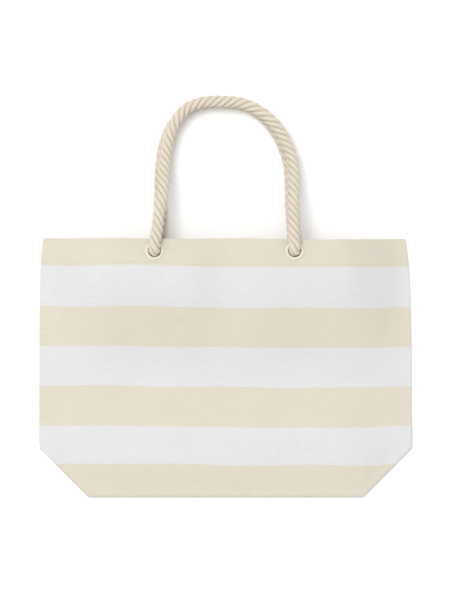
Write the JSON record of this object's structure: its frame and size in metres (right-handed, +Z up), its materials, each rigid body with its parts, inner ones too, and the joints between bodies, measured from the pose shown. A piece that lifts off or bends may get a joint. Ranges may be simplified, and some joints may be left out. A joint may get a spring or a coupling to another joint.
{
  "type": "beach bag",
  "caption": "Wide striped canvas tote lying flat on its back, with a boxed base folded under it and two twisted rope handles through eyelets.",
  "frame": {"origin": "centre of the bag's bounding box in plan, on the surface that it lies on", "axes": "+Z up out of the front face of the bag as it lies on its back, +Y from its base to its handles, +X to the right as seen from above"},
  "size_m": [0.5406, 0.5817, 0.0791],
  "materials": {
    "canvas": "plain-woven cotton canvas, wide cream and white bands",
    "rope": "natural twisted cotton rope, soft matt",
    "eyelet_lacquer": "off-white lacquered metal, semi-gloss",
    "washer_metal": "off-white lacquered metal",
    "whipping_thread": "cotton thread wound round the rope ends"
  },
  "bodies": {
    "bag": {"front_panel": "canvas", "back_panel": "canvas", "left_side_seam": "canvas", "right_side_seam": "canvas", "bottom_seam": "canvas", "left_corner_seam": "canvas", "right_corner_seam": "canvas", "front_left_eyelet": "eyelet_lacquer", "front_left_washer": "washer_metal", "front_left_knot": "rope", "front_left_whipping": "whipping_thread", "front_right_eyelet": "eyelet_lacquer", "front_right_washer": "washer_metal", "front_right_knot": "rope", "front_right_whipping": "whipping_thread", "back_left_eyelet": "eyelet_lacquer", "back_left_washer": "washer_metal", "back_left_knot": "rope", "back_left_whipping": "whipping_thread", "back_right_eyelet": "eyelet_lacquer", "back_right_washer": "washer_metal", "back_right_knot": "rope", "back_right_whipping": "whipping_thread"},
    "front_handle": {"front_handle_rope": "rope"},
    "back_handle": {"back_handle_rope": "rope"}
  },
  "joints": [
    {"name": "front_handle_swing", "type": "hinge", "parent": "bag", "child": "front_handle", "pos_m": [0, 0.0659, 0.0708], "axis": [1, 0, 0], "range_deg": [0, 176]},
    {"name": "back_handle_swing", "type": "hinge", "parent": "bag", "child": "back_handle", "pos_m": [0, 0.0659, 0.0085], "axis": [1, 0, 0], "range_deg": [-174, 0]}
  ]
}
